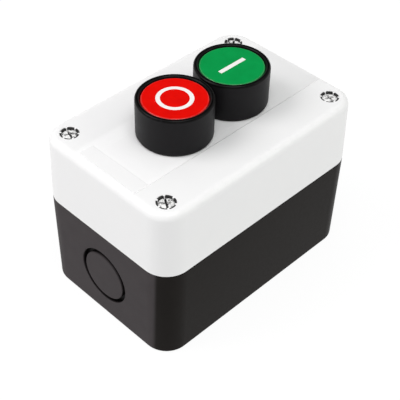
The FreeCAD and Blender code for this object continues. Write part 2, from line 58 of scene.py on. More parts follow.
view_target = Vector((-23.9, 24.5, -3.9)) * MM
view_distance = 448.95 * MM
view_azimuth = math.radians(43.914)
view_elevation = math.radians(42.582)
view_roll = math.radians(1.679)

camera = bpy.data.objects.new("camera", bpy.data.cameras.new("camera"))
bpy.context.scene.collection.objects.link(camera)
bpy.context.scene.camera = camera
camera.data.sensor_width = 36.0
camera.data.lens = 88.08
camera.data.clip_start = 0.01
turn = (Matrix.Rotation(view_azimuth, 4, "Z")
        @ Matrix.Rotation(math.pi / 2 - view_elevation, 4, "X")
        @ Matrix.Rotation(view_roll, 4, "Z"))
back = turn @ Vector((0, 0, 1))
camera.matrix_world = Matrix.Translation(view_target + back * view_distance) @ turn


# ======================================================================================
# Stage: a pale floor under the base, a softbox on each side of the camera and one
# overhead. The left softbox is the strongest, so the short end is the brighter face.

bpy.context.scene.view_settings.view_transform = "Standard"
stage_centre = Vector((0, 0, 0.04))


class Graph:
    """A node tree. node() adds any node, and a Wire's operators add Math nodes."""

    def __init__(self, tree):
        self.tree = tree

    def node(self, kind, settings=None, sockets=None, output=0):
        made = self.tree.nodes.new(kind)
        for name, value in (settings or {}).items():
            setattr(made, name, value)
        for name, value in (sockets or {}).items():
            socket = made.inputs[name]
            if isinstance(value, Wire):
                self.tree.links.new(value.socket, socket)
            else:
                socket.default_value = value
        return Wire(self, made.outputs[output])

    def maths(self, operation, *values):
        return self.node("ShaderNodeMath", {"operation": operation}, dict(enumerate(values)))


class Wire:
    """A socket whose value changes over a surface."""

    def __init__(self, graph, socket):
        self.graph = graph
        self.socket = socket

    def __add__(self, other):
        return self.graph.maths("ADD", self, other)

    def __radd__(self, other):
        return self.graph.maths("ADD", other, self)

    def __sub__(self, other):
        return self.graph.maths("SUBTRACT", self, other)

    def __rsub__(self, other):
        return self.graph.maths("SUBTRACT", other, self)

    def __mul__(self, other):
        return self.graph.maths("MULTIPLY", self, other)

    def __rmul__(self, other):
        return self.graph.maths("MULTIPLY", other, self)

    def __pow__(self, other):
        return self.graph.maths("POWER", self, other)

    def __rpow__(self, other):
        return self.graph.maths("POWER", other, self)


class Finish(Graph):
    """A material: a Principled shader, and what varies over the surface in front of it."""

    def __init__(self, name, **constants):
        self.material = bpy.data.materials.new(name)
        self.material.use_nodes = True
        super().__init__(self.material.node_tree)
        self.shader = self.tree.nodes["Principled BSDF"]
        for socket, value in constants.items():
            self.shader.inputs[socket.replace("_", " ")].default_value = value
        self.place = self.node("ShaderNodeTexCoord", output="Object")

    def feed(self, socket, value):
        self.tree.links.new(value.socket, self.shader.inputs[socket])

    def noise(self, size, detail=3.0, roughness=0.5):
        """Even noise about one half, with features of a size in metres."""
        return self.node("ShaderNodeTexNoise", {"noise_dimensions": "3D"},
                         {"Vector": self.place, "Scale": 1.0 / size,
                          "Detail": detail, "Roughness": roughness})

    def ramp(self, value, low, high):
        """0 below low, 1 above high, smooth between."""
        return self.node("ShaderNodeMapRange", {"interpolation_type": "SMOOTHSTEP"},
                         {"Value": value, "From Min": low, "From Max": high})

    def axis(self, letter):
        return self.node("ShaderNodeSeparateXYZ", None, {"Vector": self.place}, output=letter)

    def mixed(self, factor, first, second):
        """A colour between two colours, or wires that carry colours."""
        return self.node("ShaderNodeMix", {"data_type": "RGBA"},
                         {"Factor": factor, 6: rgba(first), 7: rgba(second)}, output=2)

    def relief(self, height, depth, strength):
        return self.node("ShaderNodeBump", None,
                         {"Height": height, "Distance": depth, "Strength": strength})


def rgba(colour):
    return colour if isinstance(colour, Wire) else (*colour, 1.0)


def softbox(name, place, size, power, tint):
    lamp = bpy.data.lights.new(name, "AREA")
    lamp.shape = "RECTANGLE"
    lamp.size, lamp.size_y = size
    lamp.energy = power
    lamp.color = tint
    box = bpy.data.objects.new(name, lamp)
    box.location = place
    box.rotation_mode = "QUATERNION"
    box.rotation_quaternion = (stage_centre - Vector(place)).to_track_quat("-Z", "Y")
    bpy.context.scene.collection.objects.link(box)


softbox("left_softbox", (-0.34, -0.42, 0.66), (0.46, 0.46), 2.75, (1.0, 0.972, 0.985))
softbox("right_softbox", (0.60, 0.42, 0.44), (0.36, 0.36), 0.80, (0.985, 1.0, 0.92))
softbox("top_softbox", (0.20, -0.10, 0.84), (0.40, 0.40), 2.4, (0.985, 0.995, 1.0))

world = bpy.data.worlds.new("studio")
bpy.context.scene.world = world
world.use_nodes = True
world.node_tree.nodes["Background"].inputs["Color"].default_value = (1, 1, 1, 1)
world.node_tree.nodes["Background"].inputs["Strength"].default_value = 0.44

floor_mesh = bpy.data.meshes.new("floor")
floor_reach = 3.0
floor_mesh.from_pydata([(-floor_reach, -floor_reach, 0), (floor_reach, -floor_reach, 0),
                        (floor_reach, floor_reach, 0), (-floor_reach, floor_reach, 0)],
                       [], [(0, 1, 2, 3)])
floor = bpy.data.objects.new("floor", floor_mesh)
bpy.context.scene.collection.objects.link(floor)
floor_paint = Finish("floor_paint", Base_Color=(0.13, 0.13, 0.13, 1), Roughness=0.9,
                     Specular_IOR_Level=0.0, Emission_Color=(1, 1, 1, 1),
                     Emission_Strength=0.9)
floor_mesh.materials.append(floor_paint.material)


# ======================================================================================
# Cover: one injection-moulded ABS shell, light grey, spark-eroded to a fine satin grain.
# It has draft on its sides, a full radius round the top, a shallow channel down the
# middle for the heads and a round well over each corner screw.

cover_low, cover_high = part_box("cover")
parting = cover_low.z
cover_top = cover_high.z
half_width = cover_high.x
half_length = cover_high.y
corner_radius = 10.5 * MM
wall = 3.0 * MM
post = 12.0 * MM
edge_break = 0.25 * MM
corner_steps = 14
support = 0.35 * MM

cover_draft = 0.8 * MM
cover_radius = 3.0 * MM
cover_radius_steps = 10
channel_depth = 0.5 * MM
channel_half = 15.2 * MM
channel_slope = 0.7 * MM
channel_slope_left = 2.0 * MM
panel = 2.5 * MM
head_hole = 11.15 * MM
head_y = 15.0 * MM
screw_x = 26.0 * MM
screw_y = 44.0 * MM
well_radius = 3.7 * MM
well_depth = 2.8 * MM
clearance_radius = 2.1 * MM
well_break = 0.2 * MM
top_edge_outset = (4.6 * MM, 2.4 * MM)
top_edge_drop = (2.8 * MM, 1.0 * MM)


def new_object(name, mesh):
    made = bpy.data.objects.new(name, mesh)
    bpy.context.scene.collection.objects.link(made)
    return made


def outline(inset, height):
    """Points round the enclosure at a height, set in from its largest outline."""
    reach_x, reach_y, radius = half_width - inset, half_length - inset, corner_radius - inset
    points = []
    for quarter in range(4):
        sign_x = 1 if quarter in (0, 3) else -1
        sign_y = 1 if quarter in (0, 1) else -1
        centre = Vector((sign_x * (reach_x - radius), sign_y * (reach_y - radius), height))
        arc = []
        for step in range(corner_steps + 1):
            angle = (quarter + step / corner_steps) * math.pi / 2
            arc.append(centre + Vector((math.cos(angle), math.sin(angle), 0)) * radius)
        before = Vector((math.sin(quarter * math.pi / 2), -math.cos(quarter * math.pi / 2), 0))
        after = Vector((-math.cos(quarter * math.pi / 2), -math.sin(quarter * math.pi / 2), 0))
        points += [arc[0] + before * support, *arc, arc[-1] + after * support]
    return points


def skinned(name, rings, closed=False):
    """A solid through rings of points, capped at both ends or joined end to end."""
    work = bmesh.new()
    loops = [[work.verts.new(p) for p in ring] for ring in rings]
    pairs = list(zip(loops, loops[1:]))
    if closed:
        pairs.append((loops[-1], loops[0]))
    else:
        work.faces.new(loops[0][::-1])
        work.faces.new(loops[-1])
    for lower, upper in pairs:
        count = len(lower)
        for i in range(count):
            k = (i + 1) % count
            work.faces.new((lower[i], lower[k], upper[k], upper[i]))
    bmesh.ops.recalc_face_normals(work, faces=work.faces)
    mesh = bpy.data.meshes.new(name)
    work.to_mesh(mesh)
    work.free()
    return new_object(name, mesh)


def corner_places(x, y):
    return [(sign_x * x, sign_y * y, 0) for sign_x in (-1, 1) for sign_y in (-1, 1)]


def posts_outline(spread, height):
    """The cavity's outline, set back round the four corner posts."""
    far_x, far_y = half_width - wall + spread, half_length - wall + spread
    near_x, near_y = far_x - post, far_y - post
    quarter = [(far_x, near_y), (near_x, near_y), (near_x, far_y)]
    points = []
    for sign_x, sign_y in ((1, 1), (-1, 1), (-1, -1), (1, -1)):
        turned_quarter = quarter if sign_x == sign_y else quarter[::-1]
        points += [Vector((sign_x * x, sign_y * y, height)) for x, y in turned_quarter]
    return points


def turned_tool(name, section, place=(0, 0, 0), axis="Z", segments=64):
    """A plain turned solid from (radius, height) points, for cutting or joining."""
    rings = []
    for radius, height in section:
        rings.append([Vector((radius * math.cos(a), radius * math.sin(a), height))
                      for a in (2 * math.pi * i / segments for i in range(segments))])
    hollow = section[0][0] > 0 and section[0] == section[-1]
    tool = skinned(name, rings[:-1] if hollow else rings, closed=hollow)
    if axis == "-Y":
        tool.data.transform(Matrix.Rotation(math.pi / 2, 4, "X"))
    if axis == "Y":
        tool.data.transform(Matrix.Rotation(-math.pi / 2, 4, "X"))
    tool.data.transform(Matrix.Translation(place))
    return tool


def shaped(piece, steps):
    """Carry out boolean steps, each an operation and the tools that it uses together."""
    for operation, tools in steps:
        for tool in tools:
            cut = piece.modifiers.new("shape", "BOOLEAN")
            cut.operation = operation
            cut.solver = "EXACT"
            cut.object = tool
    mesh = bpy.data.meshes.new_from_object(
        piece.evaluated_get(bpy.context.evaluated_depsgraph_get()))
    piece.modifiers.clear()
    piece.data = mesh
    for _, tools in steps:
        for tool in tools:
            bpy.data.objects.remove(tool)
    return piece


def smooth(piece, crease=32):
    piece.data.shade_smooth()
    piece.data.set_sharp_from_angle(angle=math.radians(crease))
    return piece


def finished(piece, name, material, node, body):
    """Give a piece its name and material, and put it in the place of a CAD node."""
    piece.name = name
    piece.data.name = name
    piece.data.materials.clear()
    piece.data.materials.append(material)
    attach(piece, body)
    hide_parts(node)


def cover_rings():
    rings = []
    for step in range(4):
        angle = step / 3 * math.pi / 2
        rings.append(outline(edge_break * (1 - math.sin(angle)),
                             parting + edge_break * (1 - math.cos(angle))))
    slope = cover_draft / (cover_top - parting)
    shoulder = cover_top - cover_radius
    for height in (parting + edge_break + support, shoulder - support):
        rings.append(outline(slope * (height - parting), height))
    side = slope * (shoulder - parting)
    for step in range(cover_radius_steps + 1):
        angle = step / cover_radius_steps * math.pi / 2
        rings.append(outline(side + cover_radius * (1 - math.cos(angle)),
                             shoulder + cover_radius * math.sin(angle)))
    rings.append(outline(side + cover_radius + support, cover_top))
    return rings


channel_floor = cover_top - channel_depth
overrun = 5 * MM
climb = overrun / channel_depth
channel_section = [(-channel_half, channel_floor), (channel_half, channel_floor),
                   (channel_half + channel_slope * climb, channel_floor + overrun),
                   (-channel_half - channel_slope_left * climb, channel_floor + overrun)]
channel_tool = skinned("channel_tool", [
    [Vector((x, y, z)) for x, z in channel_section]
    for y in (-half_length - overrun, half_length + overrun)])
cavity_tool = skinned("cavity_tool", [
    posts_outline(0, z) for z in (parting - overrun, channel_floor - panel)])
hole_tools = [turned_tool("hole_tool", [(head_hole, channel_floor - panel - overrun),
                                        (head_hole, channel_floor + overrun)], (0, y, 0))
              for y in (-head_y, head_y)]
well_section = [(clearance_radius, parting - overrun),
                (clearance_radius, cover_top - well_depth),
                (well_radius, cover_top - well_depth),
                (well_radius, cover_top - well_break),
                (well_radius + well_break + overrun, cover_top + overrun)]
well_tools = [turned_tool("well_tool", well_section, place)
              for place in corner_places(screw_x, screw_y)]


def outward(finish):
    """How far a point is from the flat middle, reaching the corner radius at the outline."""
    spans = []
    for letter, half in (("X", half_width), ("Y", half_length)):
        past = finish.maths("ABSOLUTE", finish.axis(letter)) - (half - corner_radius)
        spans.append(finish.maths("MAXIMUM", past, 0.0) ** 2.0)
    return (spans[0] + spans[1]) ** 0.5


cover_finish = Finish("cover_abs", Specular_IOR_Level=0.45)
mottle = cover_finish.noise(9 * MM, detail=4)
cloud = cover_finish.noise(45 * MM, detail=2)
tone = cover_finish.mixed(mottle * 0.6 + cloud * 0.4, (0.845, 0.848, 0.850), (0.885, 0.885, 0.880))
# Partly painted highlight: in a noisy band along the rounded top edges the colour is lighter, standing
# in for the highlight there; the band is also smoother and less grained, as from handling.
top_edge_band = cover_finish.ramp(outward(cover_finish), *(corner_radius - inset for inset in top_edge_outset))
top_edge_band *= cover_finish.ramp(cover_finish.axis("Z"), *(cover_top - drop for drop in top_edge_drop))
highlight_and_wear = top_edge_band * cover_finish.ramp(cover_finish.noise(3 * MM, detail=4), 0.05, 0.60)
cover_finish.feed("Base Color", cover_finish.mixed(highlight_and_wear, tone, (0.915, 0.915, 0.912)))
cover_finish.feed("Roughness", cover_finish.noise(1.2 * MM) * 0.10 + mottle * 0.06 + 0.33 - highlight_and_wear * 0.12)
grain = cover_finish.noise(0.32 * MM, detail=2, roughness=0.6)
cover_finish.feed("Normal", cover_finish.relief(grain * (1 - highlight_and_wear * 0.7), 0.012 * MM, 0.5))

cover = shaped(skinned("cover_shell", cover_rings()),
               [("DIFFERENCE", [cavity_tool]), ("DIFFERENCE", hole_tools),
                ("DIFFERENCE", well_tools), ("DIFFERENCE", [channel_tool])])
finished(smooth(cover), "cover_shell", cover_finish.material, "cover", "root")


# ======================================================================================
# Base: a deep charcoal ABS tray, moulded with a heavier satin grain. A ring groove in each
# short end leaves a thin web, so the disc inside it knocks out for a cable gland.

base_draft = 0.5 * MM
base_radius = 1.0 * MM
base_floor = 3.0 * MM
knockout_height = 21.2 * MM
knockout_outer = 12.25 * MM
knockout_inner = 10.6 * MM
knockout_depth = 2.2 * MM
knockout_break = 0.22 * MM
mount_x = 12.0 * MM
mount_y = 43.0 * MM
mount_hole = 2.25 * MM
mount_boss = 4.5 * MM
mount_boss_height = 3.0 * MM
thread_radius = 1.8 * MM
thread_depth = 20.0 * MM
groove_inset = 0.8 * MM
groove_width = 1.4 * MM
groove_depth = 1.5 * MM
# Where the painted light on the short end faces begins and where it is full.
painted_light_end_start, painted_light_end_full = half_length - 1.3 * MM, half_length - 0.55 * MM
foot_scuff = (0.4 * MM, 1.6 * MM)
rim_scuff = (parting - 0.6 * MM, parting - 0.2 * MM)
# The soft edge of the painted shade in the knockout groove, and where it begins and is full towards each
# end.
groove_shade_edge = 0.1 * MM
groove_shade_start, groove_shade_full = half_length - 3.0 * MM, half_length - 2.5 * MM


def base_rings():
    def inset(height):
        return base_draft * (1 - height / parting)

    foot = inset(base_radius)
    rings = [outline(foot + base_radius + support, 0.0)]
    steps = 6
    for step in range(steps + 1):
        angle = step / steps * math.pi / 2
        rings.append(outline(foot + base_radius * (1 - math.sin(angle)),
                             base_radius * (1 - math.cos(angle))))
    for height in (base_radius + support, parting - edge_break - support):
        rings.append(outline(inset(height), height))
    for step in range(4):
        angle = step / 3 * math.pi / 2
        rings.append(outline(edge_break * (1 - math.cos(angle)),
                             parting - edge_break * (1 - math.sin(angle))))
    return rings


def knockout_tool(side):
    """The ring groove, with its two edges broken."""
    mouth = half_length - knockout_depth
    face = half_length - 0.5 * base_draft
    inner, outer = knockout_inner, knockout_outer
    section = [(inner, mouth), (outer, mouth), (outer, face - knockout_break),
               (outer + knockout_break + overrun, face + overrun),
               (inner - knockout_break, face + overrun),
               (inner - knockout_break, face), (inner, face - knockout_break), (inner, mouth)]
    place = (0, 0, knockout_height)
    return turned_tool("knockout_tool", section, place, side, segments=96)


tray_tool = skinned("tray_tool", [posts_outline(0, z) for z in (base_floor, parting + overrun)])
boss_tools = [turned_tool("boss_tool", [(mount_boss, base_floor / 2),
                                        (mount_boss, base_floor + mount_boss_height)], place)
              for place in corner_places(mount_x, mount_y)]
mount_tools = [turned_tool("mount_tool", [(mount_hole, -overrun), (mount_hole, 3 * overrun)], place)
               for place in corner_places(mount_x, mount_y)]
thread_tools = [turned_tool("thread_tool", [(thread_radius, parting - thread_depth),
                                            (thread_radius, parting + overrun)], place)
                for place in corner_places(screw_x, screw_y)]
groove_tool = skinned("groove_tool", [
    posts_outline(groove_inset, parting - groove_depth), posts_outline(groove_inset, parting + overrun),
    posts_outline(groove_inset + groove_width, parting + overrun),
    posts_outline(groove_inset + groove_width, parting - groove_depth)], closed=True)

base_finish = Finish("base_abs", Specular_IOR_Level=0.04)
mottle = base_finish.noise(6 * MM, detail=4)
reach = base_finish.maths("ABSOLUTE", base_finish.axis("Y"))
# Painted light: the short end faces are coloured several times lighter than the long sides, standing in
# for the stronger light that falls on that end.
painted_light_end = base_finish.ramp(reach, painted_light_end_start, painted_light_end_full)
side_tone = base_finish.mixed(mottle, (0.0085, 0.0070, 0.0062), (0.0125, 0.0105, 0.0092))
painted_light_end_tone = base_finish.mixed(mottle, (0.047, 0.0410, 0.0430), (0.062, 0.0545, 0.0565))
base_height = base_finish.axis("Z")
foot_edge = 1 - base_finish.ramp(base_height, *foot_scuff)
rim_edge = base_finish.ramp(base_height, *rim_scuff)
scratches = base_finish.ramp(base_finish.noise(1.8 * MM, detail=5), 0.42, 0.68)
scuff = (foot_edge * 0.6 + rim_edge * 0.3) * scratches
# Painted shade: inside the knockout's ring groove the colour goes near black, standing in for the shade
# in the groove.
ring_height = base_finish.axis("Z") - knockout_height
ring_reach = (base_finish.axis("X") ** 2.0 + ring_height ** 2.0) ** 0.5
in_ring = base_finish.ramp(ring_reach, knockout_inner - groove_shade_edge, knockout_inner + groove_shade_edge)
in_ring *= 1 - base_finish.ramp(ring_reach, knockout_outer - groove_shade_edge, knockout_outer + groove_shade_edge)
painted_groove_shade = in_ring * base_finish.ramp(reach, groove_shade_start, groove_shade_full)
# The base's own colour, with painted light on the end faces and painted shade in the knockout groove.
base_tone_with_painted_light = base_finish.mixed(painted_light_end, side_tone, painted_light_end_tone)
base_tone_with_painted_light = base_finish.mixed(painted_groove_shade * 0.9, base_tone_with_painted_light, (0.0015, 0.0015, 0.0015))
base_finish.feed("Base Color", base_finish.mixed(scuff, base_tone_with_painted_light, (0.085, 0.080, 0.080)))
base_finish.feed("Roughness", base_finish.noise(1.5 * MM) * 0.12 + mottle * 0.06
                 + painted_light_end * 0.12 + scuff * 0.15 + 0.32)
grain = base_finish.noise(0.4 * MM, detail=2, roughness=0.6)
base_finish.feed("Normal", base_finish.relief(grain, 0.02 * MM, 0.6))

base = shaped(skinned("base_tray", base_rings()),
              [("DIFFERENCE", [tray_tool]), ("UNION", boss_tools), ("DIFFERENCE", mount_tools),
               ("DIFFERENCE", thread_tools), ("DIFFERENCE", [groove_tool]),
               ("DIFFERENCE", [knockout_tool("-Y"), knockout_tool("Y")])])
finished(smooth(base), "base_tray", base_finish.material, "base", "root")


# ======================================================================================
# Cover gasket: a moulded neoprene cord that sits in the groove round the base's rim, and
# closes the parting line when the cover is screwed down.

rubber_finish = Finish("neoprene", Specular_IOR_Level=0.3)
bloom = rubber_finish.noise(3 * MM, detail=4)
rubber_finish.feed("Base Color", rubber_finish.mixed(bloom, (0.012, 0.012, 0.012),
                                                     (0.035, 0.034, 0.033)))
rubber_finish.feed("Roughness", bloom * 0.2 + 0.6)
rubber_finish.feed("Normal", rubber_finish.relief(rubber_finish.noise(0.3 * MM), 0.02 * MM, 0.5))


def coat(finish, *nodes):
    """Give CAD nodes that keep their own mesh a finish."""
    for name in nodes:
        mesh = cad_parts[name].data
        mesh.materials.clear()
        mesh.materials.append(finish.material)


coat(rubber_finish, "cover_gasket")


# ======================================================================================
# Cover screws: four zinc-plated pan heads, their cross drive drawn out to a slot. Each has
# a black rubber ring round it, put in its well as painted shade and held by six small ribs,
# and stops at its own angle.

screw_seat = cover_top - well_depth
head_radius = 3.2 * MM
head_height = 2.3 * MM
head_crown = 0.55 * MM
head_rim = 0.7 * MM
head_dome = 1.5 * MM
shank_radius = 1.75 * MM
shank_length = 44.0 * MM
drive_cross = 3.6 * MM
drive_slot = 5.0 * MM
drive_width = 0.9 * MM
drive_depth = 1.3 * MM
drive_taper = 0.12 * MM
drive_break = 0.1 * MM
point_length = 1.2 * MM
shade_washer_bore = 3.08 * MM
shade_washer_foot = 0.5 * MM
shade_washer_sunk = (0.15 * MM, 0.22 * MM)
rib_count = 6
rib_radius = 0.42 * MM
rib_spread = 3.45 * MM
rib_height = 1.4 * MM
rib_sunk = 0.1 * MM
stop_seed = 3


def corner_arc(before, corner, after, radius, steps=6):
    """The points of a fillet between two straight runs, with a support point on each run."""
    if radius == 0:
        return [corner]
    way_in = (before - corner).normalized()
    way_out = (after - corner).normalized()
    half = way_in.angle(way_out) / 2
    run = radius / math.tan(half)
    centre = corner + (way_in + way_out).normalized() * radius / math.sin(half)
    start, end = corner + way_in * run, corner + way_out * run
    first, last = start - centre, end - centre
    bend = first.angle_signed(last)
    arc = []
    for step in range(steps + 1):
        arc.append(centre + first @ Matrix.Rotation(bend * step / steps, 2))
    spare = 0.25 * MM
    if (before - corner).length > run + 2 * spare:
        arc.insert(0, start + way_in * spare)
    if (after - corner).length > run + 2 * spare:
        arc.append(end + way_out * spare)
    return arc


def turned_piece(name, corners, place=(0, 0, 0), segments=128):
    """A turned solid from (radius, height, fillet) corners, closed on the axis or a ring."""
    points = [Vector((radius, height)) for radius, height, _ in corners]
    ring = points[0].x > 0
    section = []
    for i, (_, _, fillet) in enumerate(corners):
        before = points[i - 1]
        after = points[(i + 1) % len(points)]
        section += corner_arc(before, points[i], after, fillet)
    work = bmesh.new()
    loops = []
    for point in section:
        if point.x < 1e-9:
            loops.append([work.verts.new((0, 0, point.y))] * segments)
        else:
            loops.append([work.verts.new((point.x * math.cos(a), point.x * math.sin(a), point.y))
                          for a in (2 * math.pi * k / segments for k in range(segments))])
    pairs = list(zip(loops, loops[1:])) + ([(loops[-1], loops[0])] if ring else [])
    for lower, upper in pairs:
        for i in range(segments):
            k = (i + 1) % segments
            corners_of_face = list(dict.fromkeys((lower[i], lower[k], upper[k], upper[i])))
            work.faces.new(corners_of_face)
    bmesh.ops.recalc_face_normals(work, faces=work.faces)
    bmesh.ops.translate(work, verts=work.verts, vec=place)
    mesh = bpy.data.meshes.new(name)
    work.to_mesh(mesh)
    work.free()
    return new_object(name, mesh)


def box_tool(name, low, high):
    corners = [[Vector((x, y, z)) for x, y in ((low[0], low[1]), (high[0], low[1]),
                                               (high[0], high[1]), (low[0], high[1]))]
               for z in (low[2], high[2])]
    return skinned(name, corners)


def drive_tool(length, width, along_x):
    """A tapered bar for one arm of the drive, wider at its mouth."""
    top, bottom = screw_seat + head_height, screw_seat + head_height - drive_depth
    rings = []
    for height, grown in ((bottom, -drive_taper), (top - drive_break, 0.0),
                          (top + overrun, overrun / 3)):
        reach, half = length / 2 + grown, width / 2 + grown * 0.5
        x, y = (reach, half) if along_x else (half, reach)
        rings.append([Vector((-x, -y, height)), Vector((x, -y, height)),
                      Vector((x, y, height)), Vector((-x, y, height))])
    return skinned("drive_tool", rings)


screw_finish = Finish("zinc_plate")
plating = screw_finish.noise(1.1 * MM, detail=3)
# Partly painted highlight: random patches are near white and barely metallic, standing in for glints on
# the heads; the grey, metallic rest is the plating's own mottle.
glint_patch = screw_finish.ramp(plating, 0.34, 0.48)
plating_and_glints = screw_finish.mixed(glint_patch, (0.42, 0.42, 0.43), (0.97, 0.97, 0.96))
head_place = screw_finish.axis("Z")
# Painted shade: near the floor of the drive and on the lower side of the head the colour goes near
# black, standing in for the shade in these recesses.
head_face = screw_finish.ramp(head_place, screw_seat + 1.0 * MM, screw_seat + 1.6 * MM)
below_head = screw_finish.ramp(head_place, screw_seat - 0.2 * MM, screw_seat)
painted_recess_shade = (1 - head_face) * below_head
screw_finish.feed("Base Color", screw_finish.mixed(painted_recess_shade, plating_and_glints, (0.02, 0.02, 0.02)))
screw_finish.feed("Metallic", 0.9 - glint_patch * 0.75)
screw_finish.feed("Roughness", plating * 0.2 + 0.18)
screw_finish.feed("Normal", screw_finish.relief(screw_finish.noise(0.5 * MM), 0.03 * MM, 0.6))

screw = turned_piece("screw", [
    (0, screw_seat - shank_length, 0), (shank_radius * 0.6, screw_seat - shank_length, 0),
    (shank_radius, screw_seat - shank_length + point_length, 0), (shank_radius, screw_seat, 0),
    (head_radius, screw_seat, 0.12 * MM), (head_radius, screw_seat + head_height - head_crown, head_rim),
    (head_radius * 0.55, screw_seat + head_height - 0.08 * MM, head_dome),
    (0, screw_seat + head_height, 0)], segments=48)
shaped(screw, [("DIFFERENCE", [drive_tool(drive_slot, drive_width, True)]),
               ("DIFFERENCE", [drive_tool(drive_cross, drive_width, False)])])
smooth(screw)


class Tree(Graph):
    """A Geometry Nodes tree with named inputs, run once on an object."""

    def __init__(self, name, **kinds):
        super().__init__(bpy.data.node_groups.new(name, "GeometryNodeTree"))
        self.sockets = {}
        for asked, kind in kinds.items():
            made = self.tree.interface.new_socket(asked, in_out="INPUT", socket_type=kind)
            self.sockets[asked] = made.identifier
        self.tree.interface.new_socket("Result", in_out="OUTPUT", socket_type="NodeSocketGeometry")
        self.inputs = self.tree.nodes.new("NodeGroupInput")

    def asked(self, name):
        return Wire(self, self.inputs.outputs[name])

    def ends(self, geometry):
        real = self.node("GeometryNodeRealizeInstances", None, {"Geometry": geometry})
        done = self.node("GeometryNodeSetMaterial", None,
                         {"Geometry": real, "Material": self.asked("Material")})
        self.tree.links.new(done.socket, self.tree.nodes.new("NodeGroupOutput").inputs[0])

    def run(self, thing, **values):
        """Replace the object's mesh by what the tree makes of it."""
        modifier = thing.modifiers.new(self.tree.name, "NODES")
        modifier.node_group = self.tree
        for name, value in values.items():
            modifier[self.sockets[name]] = value
        mesh = bpy.data.meshes.new_from_object(
            thing.evaluated_get(bpy.context.evaluated_depsgraph_get()))
        thing.modifiers.remove(modifier)
        thing.data = mesh


LENGTH, COUNT = "NodeSocketFloat", "NodeSocketInt"
screw_set = Tree("screw_set", Screw="NodeSocketGeometry", Spacing_X=LENGTH, Spacing_Y=LENGTH,
                 Seed=COUNT, Material="NodeSocketMaterial")
corners = screw_set.node("GeometryNodeMeshGrid", None, {
    "Size X": screw_set.asked("Spacing_X"), "Size Y": screw_set.asked("Spacing_Y"),
    "Vertices X": 2, "Vertices Y": 2})
stop_angle = screw_set.node("FunctionNodeRandomValue", {"data_type": "FLOAT"},
                            {2: 0.0, 3: math.pi, "Seed": screw_set.asked("Seed")}, output=1)
stop_turn = screw_set.node("ShaderNodeCombineXYZ", None, {"Z": stop_angle})
screw_set.ends(screw_set.node("GeometryNodeInstanceOnPoints", None, {
    "Points": corners, "Instance": screw_set.asked("Screw"), "Rotation": stop_turn}))


def at_corners(piece, finish):
    screw_set.run(piece, Spacing_X=2 * screw_x, Spacing_Y=2 * screw_y, Seed=stop_seed,
                  Material=finish.material)


# A dark thing put where there is only shade: a black rubber ring in each well, round the head, stands in
# for the shade in the gap.
shade_washer = turned_piece("painted_shade_washers", [
    (shade_washer_bore, screw_seat + head_height - head_crown, 0), (well_radius, screw_seat + shade_washer_foot, 0),
    (well_radius, cover_top - shade_washer_sunk[0], 0.12 * MM),
    (shade_washer_bore, cover_top - shade_washer_sunk[1], 0.15 * MM)], segments=64)
at_corners(shade_washer, rubber_finish)
smooth(shade_washer)
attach(shade_washer, "root")

rib_ring = Tree("rib_ring", Count=COUNT, Ring_Radius=LENGTH, Rib_Radius=LENGTH, Height=LENGTH,
                Top=LENGTH, Material="NodeSocketMaterial")
rib = rib_ring.node("GeometryNodeMeshCylinder", None, {
    "Vertices": 16, "Radius": rib_ring.asked("Rib_Radius"), "Depth": rib_ring.asked("Height")})
round_well = rib_ring.node("GeometryNodeMeshCircle", None, {
    "Vertices": rib_ring.asked("Count"), "Radius": rib_ring.asked("Ring_Radius")})
ribs_round = rib_ring.node("GeometryNodeInstanceOnPoints", None,
                           {"Points": round_well, "Instance": rib})
rib_lift = rib_ring.node("ShaderNodeCombineXYZ", None, {
    "Z": rib_ring.asked("Top") - rib_ring.asked("Height") * 0.5})
rib_ring.ends(rib_ring.node("GeometryNodeTransform", None, {
    "Geometry": ribs_round, "Translation": rib_lift}))
ribs = new_object("well_ribs", bpy.data.meshes.new("well_ribs"))
rib_ring.run(ribs, Count=rib_count, Ring_Radius=rib_spread, Rib_Radius=rib_radius,
             Height=rib_height, Top=cover_top - rib_sunk, Material=cover_finish.material)
at_corners(ribs, cover_finish)
smooth(ribs)
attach(ribs, "root")

at_corners(screw, screw_finish)
finished(screw, "cover_screw_set", screw_finish.material, "cover_screws", "root")


# ======================================================================================
# Label plate: a thin blank strip of polyester film, die-cut with round corners. It is
# stuck down across the channel, below the stop head.

label_low, label_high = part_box("label_plate")
label_corner = 0.5 * MM
label_film_thickness = 0.16 * MM
label_break = 0.1 * MM
slab_steps = 6
label_finish = Finish("label_film", Specular_IOR_Level=0.45)
weave = label_finish.noise(5 * MM)
label_finish.feed("Base Color", label_finish.mixed(weave, (0.855, 0.857, 0.858), (0.88, 0.88, 0.878)))
label_finish.feed("Roughness", weave * 0.1 + 0.36)


def rounded_slab(name, low, high, radius, soft):
    """A flat slab with round corners and a softened upper edge."""
    centre = (Vector(low) + Vector(high)) / 2
    half = (Vector(high) - Vector(low)) / 2
    rings = []
    for grown, height in ((0, low[2]), (0, high[2] - soft), (-0.3 * soft, high[2] - 0.3 * soft),
                          (-soft, high[2]), (-soft - radius / 2, high[2])):
        ring = []
        for quarter in range(4):
            sign_x = 1 if quarter in (0, 3) else -1
            sign_y = 1 if quarter in (0, 1) else -1
            for step in range(slab_steps + 1):
                angle = (quarter + step / slab_steps) * math.pi / 2
                ring.append(Vector((
                    centre.x + sign_x * (half.x - radius) + (radius + grown) * math.cos(angle),
                    centre.y + sign_y * (half.y - radius) + (radius + grown) * math.sin(angle),
                    height)))
        rings.append(ring)
    return skinned(name, rings)


label_high.z = label_low.z + label_film_thickness
label = rounded_slab("label_strip", label_low, label_high, label_corner, label_break)
finished(smooth(label), "label_strip", label_finish.material, "label_plate", "root")


# ======================================================================================
# Heads: each has a panel gasket under a tall bezel. The bezel is moulded in black
# glass-filled nylon, with a rounded rim, and its neck goes down through the panel.

